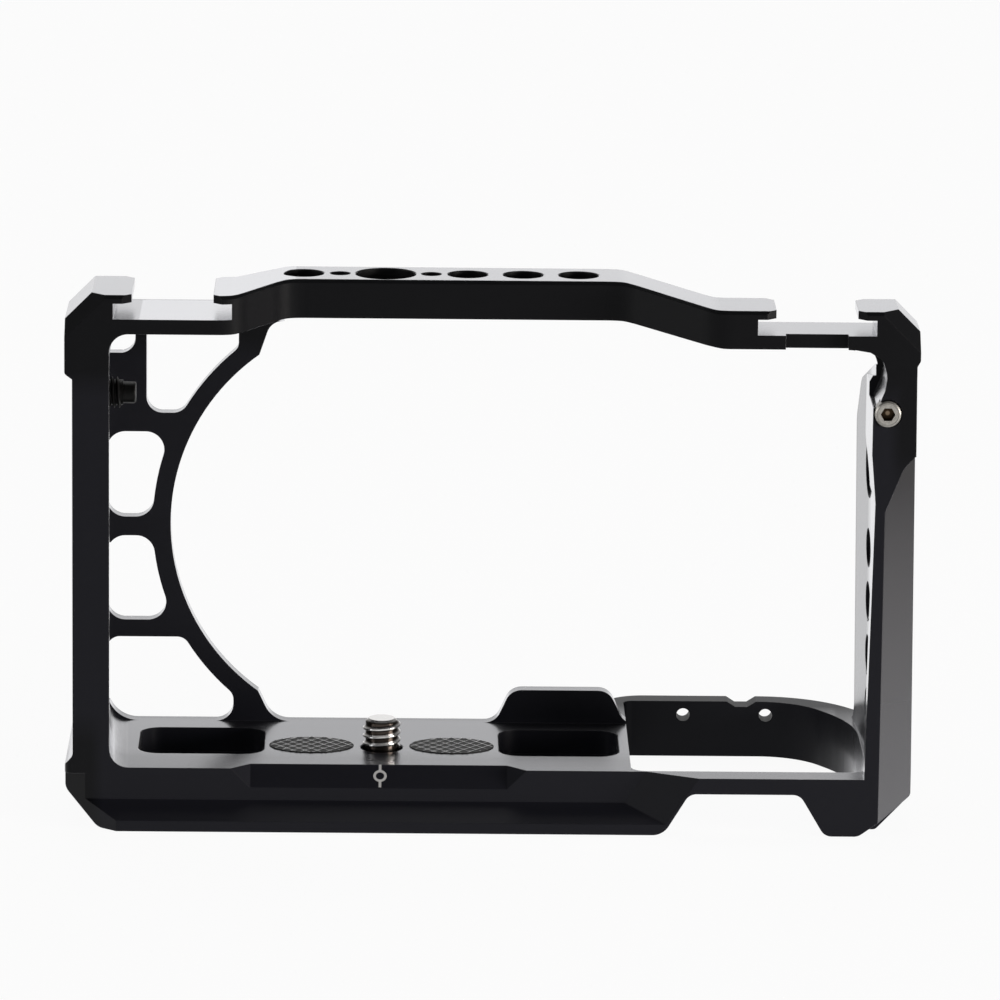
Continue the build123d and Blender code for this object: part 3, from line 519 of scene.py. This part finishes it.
def index_mark(material):
    """A small ring with a line above and below it, on the finger bevel."""
    ring_outer, ring_inner = 1.07, 0.66
    line_wide, line_long, line_middle = 0.42, 1.1, 1.53
    thick, lifted = 0.02, 0.012
    on_bevel = Vector((-0.18, -12.58, -1.48))
    shape = bmesh.new()
    outer = bmesh.ops.create_circle(shape, segments=48, radius=ring_outer * mm)["verts"]
    inner = bmesh.ops.create_circle(shape, segments=48, radius=ring_inner * mm)["verts"]
    loops = [edge for edge in shape.edges if edge.verts[0] in outer or edge.verts[0] in inner]
    bmesh.ops.bridge_loops(shape, edges=loops)
    for side in (-1, 1):
        line = bmesh.ops.create_grid(shape, x_segments=2, y_segments=2, size=0.5)["verts"]
        bmesh.ops.scale(shape, vec=(line_wide * mm, line_long * mm, 1), verts=line)
        bmesh.ops.translate(shape, vec=(0, side * line_middle * mm, 0), verts=line)
    bmesh.ops.solidify(shape, geom=shape.faces, thickness=thick * mm)
    up = Vector((0, 1, 1)).normalized()
    out = Vector((0, -1, 1)).normalized()
    place = Matrix((Vector((1, 0, 0)), up, out)).transposed().to_4x4()
    place.translation = (on_bevel + out * lifted) * mm
    bmesh.ops.transform(shape, matrix=place, verts=shape.verts)
    finish_piece("index_mark", shape, material)


def thread_liner(name, mouth, turn, thread, length, material):
    """The turns of a tapped hole, wound inside its wall, below a mouth given in mm."""
    radius, pitch = thread
    into_wall, depth = 0.15, 0.54 * pitch
    half_base, half_crest = 0.47 * pitch, 0.07 * pitch
    profile = [(radius + into_wall, -half_base), (radius - depth, -half_crest),
               (radius - depth, half_crest), (radius + into_wall, half_base)]
    shape = bmesh.new()
    wind(shape, profile, pitch, -length, -0.55 * pitch)
    bmesh.ops.transform(shape, matrix=Matrix.Translation(mouth * mm) @ turn, verts=shape.verts)
    finish_piece(name, shape, material)


def pair_of_holes(mount, axis):
    """The x, y, z in mm of a mount's two holes, which stand apart along an axis."""
    dims = MOUNTS[mount]["dims"]
    half = dims.get("spacing_x_mm", dims.get("spacing_y_mm")) / 2
    holes = [in_mm(MOUNTS[mount]) for _ in range(2)]
    holes[0][axis] -= half
    holes[1][axis] += half
    return holes


def tapped_holes(material):
    """The turns in each tapped hole of the bar, the right side and the base, just below its mouth."""
    bar_mouth = node_end("top_bar", HIGHEST, Z) - 0.1
    side_mouth = node_end("right_side", HIGHEST, X) - 0.5
    base_mouth = node_end("base_plate", LOWEST, Z) + 0.1
    upwards = Matrix.Identity(4)
    outwards = Matrix.Rotation(radians(90), 4, "Y")
    downwards = Matrix.Rotation(radians(180), 4, "X")

    holes = pair_of_holes("bar_anchor_quarter_holes", X) + pair_of_holes("bar_quarter_holes", X)
    for number, hole in enumerate(holes):
        hole.z = bar_mouth
        thread_liner(f"bar_hole_thread_{number + 1}", hole, upwards, QUARTER_INCH, 5.7, material)
    anchor = in_mm(MOUNTS["bar_three_eighths_hole"])
    anchor.z = bar_mouth
    thread_liner("bar_anchor_thread", anchor, upwards, THREE_EIGHTHS, 5.5, material)

    holes = pair_of_holes("side_lower_quarter_holes", Z) + pair_of_holes("side_upper_quarter_holes", Z)
    for number, hole in enumerate(holes):
        hole.x = side_mouth
        thread_liner(f"side_hole_thread_{number + 1}", hole, outwards, QUARTER_INCH, 5.4, material)
    anchor = in_mm(MOUNTS["side_three_eighths_hole"])
    anchor.x = side_mouth - 0.1
    thread_liner("side_anchor_thread", anchor, outwards, THREE_EIGHTHS, 5.2, material)

    for name, hole in zip(("left", "right"), pair_of_holes("tripod_holes", X)):
        hole.z = base_mouth
        thread_liner("tripod_thread_" + name, hole, downwards, QUARTER_INCH, 5.8, material)


# ---- stage ---------------------------------------------------------------------------------

def stage_white(shadow_share):
    """White to the camera and in reflections, plain matt white to the lamps' light."""
    paint = new_paint("stage_white")
    camera_ray, glossy_ray, transmission_ray = [
        paint.node("ShaderNodeLightPath", {}, {}, kind)
        for kind in ("Is Camera Ray", "Is Glossy Ray", "Is Transmission Ray")]
    matt = paint.node("ShaderNodeBsdfDiffuse", {}, {"Color": grey(0.85)})
    white = paint.node("ShaderNodeEmission", {}, {"Color": grey(1.0), "Strength": 1.0})
    x, y, _ = paint.place_in_mm()
    reflected = abs(x).rise(1300, 300).at_most(y.rise(-750, -35.714))
    seen = camera_ray * (1 - shadow_share) + (glossy_ray + transmission_ray) * reflected
    return paint.finished(paint.two_shaders(seen.clamped(), matt, white))


def add_stage():
    """A white floor that rises into a wall ahead of the cage."""
    half_wide = 3
    floor_z = node_end("base_plate", LOWEST, Z) * mm
    section = ((-2.5, floor_z), (1.6, floor_z), (2.1, 0.25), (2.2, 0.8), (2.2, 3))
    shape = bmesh.new()
    profile = [shape.verts.new((-half_wide, y, z)) for y, z in section]
    edges = [shape.edges.new(pair) for pair in zip(profile, profile[1:])]
    skin = bmesh.ops.extrude_edge_only(shape, edges=edges)["geom"]
    moved = [item for item in skin if isinstance(item, bmesh.types.BMVert)]
    bmesh.ops.translate(shape, vec=(2 * half_wide, 0, 0), verts=moved)
    bmesh.ops.recalc_face_normals(shape, faces=shape.faces)
    mesh = bpy.data.meshes.new("stage_floor")
    shape.to_mesh(mesh)
    shape.free()
    mesh.materials.append(stage_white(0.06))
    floor = bpy.data.objects.new("stage_floor", mesh)
    scene.collection.objects.link(floor)


def add_lamp(name, spot, target, size, power, colour=(1, 1, 1)):
    """A soft oblong lamp that faces the target."""
    lamp = bpy.data.lights.new(name, "AREA")
    lamp.shape = "RECTANGLE"
    lamp.size, lamp.size_y = size
    lamp.energy = power
    lamp.color = colour
    holder = bpy.data.objects.new(name, lamp)
    holder.location = spot
    holder.rotation_euler = (Vector(target) - Vector(spot)).to_track_quat("-Z", "Y").to_euler()
    scene.collection.objects.link(holder)


def add_light():
    """Three soft lamps, in a room that is dimmer overhead."""
    warm = (1, 0.95, 0.9)
    add_lamp("rear_lamp", (-0.1, 1.0, 1.5), (0.01, 0, 0.03), (1.2, 1.0), 8)
    add_lamp("right_lamp", (0.9, -0.4, 0.1), (0.05, 0, 0.03), (0.36, 0.26), 13, warm)
    add_lamp("left_lamp", (-0.95, -0.35, 0.3), (-0.02, 0, 0.03), (0.4, 0.5), 2.4)
    room = Paint(bpy.data.worlds.new("room"))
    _, _, up = room.apart(room.node("ShaderNodeTexCoord", {}, {}, "Generated"))
    level = 0.34 - up.rise(0.3, 0.7) * 0.24
    dim = room.node("ShaderNodeBackground", {}, {"Color": grey(1.0), "Strength": level})
    white = room.node("ShaderNodeBackground", {}, {"Color": grey(1.0), "Strength": 1.0})
    seen = room.node("ShaderNodeLightPath", {}, {}, "Is Camera Ray")
    scene.world = room.finished(room.two_shaders(seen, dim, white), "ShaderNodeOutputWorld")


# ---- the scene --------------------------------------------------------------------------------

add_camera()
black, oxide, grip = anodised(), black_steel(), rubber()
node_materials = {name: black for name in FRAME_NODES}
node_materials.update(camera_screw_washer=oxide, camera_screw_snap_ring=oxide,
                      right_lug_screw=steel_of_cap_screw(), left_lug_screw_tip=nylon())
for name, material in node_materials.items():
    frame["nodes"][name].data.materials.clear()
    frame["nodes"][name].data.materials.append(material)
camera_screw(steel_of_camera_screw())
grub_screw(oxide)
pad(-1, "left_anti_slip_pad", grip)
pad(1, "right_anti_slip_pad", grip)
index_mark(etched())
tapped_holes(black)
add_stage()
add_light()
scene.view_settings.view_transform = "Standard"
